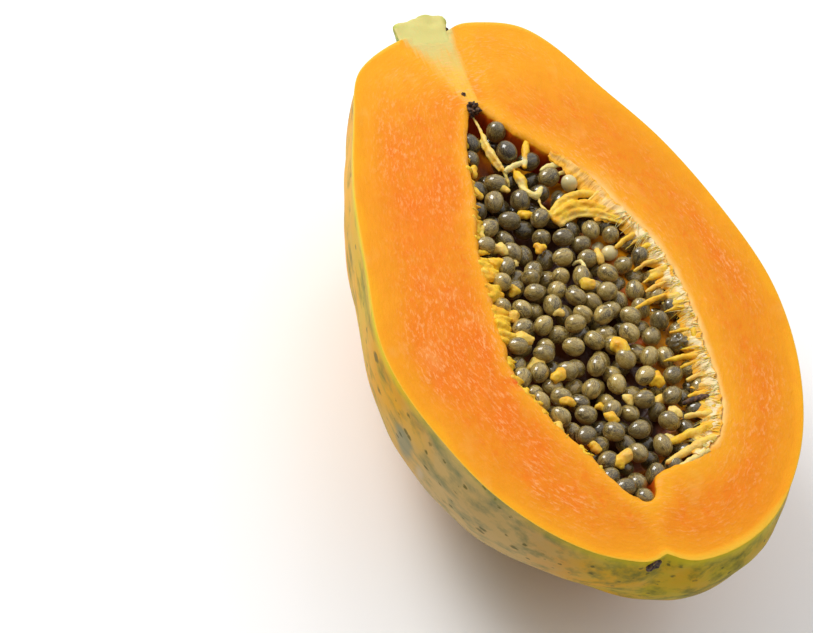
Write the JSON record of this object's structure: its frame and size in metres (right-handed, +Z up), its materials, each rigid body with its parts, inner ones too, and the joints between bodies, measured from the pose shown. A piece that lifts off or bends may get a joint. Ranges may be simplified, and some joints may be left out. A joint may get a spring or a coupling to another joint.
{
  "type": "papaya half",
  "caption": "Half a ripe papaya, cut lengthwise through its stalk and laid cut face up: skin and flesh round an open teardrop cavity of seeds on placental tissue.",
  "frame": {"origin": "bottom centre of the bounding box, on the surface that the skin's resting spot lies on", "axes": "+Y along the fruit towards the stalk, +X across it, +Z up out of the cut face"},
  "size_m": [0.1208, 0.1992, 0.0684],
  "materials": {
    "flesh_and_skin": "wet cut flesh, waxy yellow and green skin",
    "stalk": "pale green fibrous stalk, cut lengthwise",
    "placenta": "moist pale yellow placental tissue",
    "seed_coat": "wet dark olive seed coat"
  },
  "bodies": {
    "root": {"fruit_half": "flesh_and_skin", "stalk_stub": "stalk", "placenta_bed": "placenta", "placenta_strand_tip": "placenta", "placenta_fold": "placenta", "placenta_margin": "placenta", "seed_01": "seed_coat", "seed_02": "seed_coat", "seed_03": "seed_coat", "seed_04": "seed_coat", "seed_05": "seed_coat", "seed_06": "seed_coat", "seed_07": "seed_coat", "seed_08": "seed_coat", "seed_09": "seed_coat", "seed_10": "seed_coat", "seed_11": "seed_coat", "seed_12": "seed_coat", "seed_13": "seed_coat", "seed_14": "seed_coat", "seed_15": "seed_coat", "seed_16": "seed_coat", "seed_17": "seed_coat", "seed_18": "seed_coat", "seed_19": "seed_coat", "seed_20": "seed_coat", "seed_21": "seed_coat", "seed_22": "seed_coat", "seed_23": "seed_coat", "seed_24": "seed_coat", "seed_25": "seed_coat", "seed_26": "seed_coat", "seed_27": "seed_coat", "seed_28": "seed_coat", "seed_29": "seed_coat", "seed_30": "seed_coat", "seed_31": "seed_coat", "seed_32": "seed_coat", "seed_33": "seed_coat", "seed_34": "seed_coat", "seed_35": "seed_coat", "seed_36": "seed_coat", "seed_37": "seed_coat", "seed_38": "seed_coat", "seed_39": "seed_coat", "seed_40": "seed_coat", "seed_41": "seed_coat", "seed_42": "seed_coat", "seed_43": "seed_coat", "seed_44": "seed_coat", "seed_45": "seed_coat", "seed_46": "seed_coat", "seed_47": "seed_coat", "seed_48": "seed_coat", "seed_49": "seed_coat", "seed_50": "seed_coat", "seed_51": "seed_coat", "seed_52": "seed_coat", "seed_53": "seed_coat"}
  },
  "joints": []
}
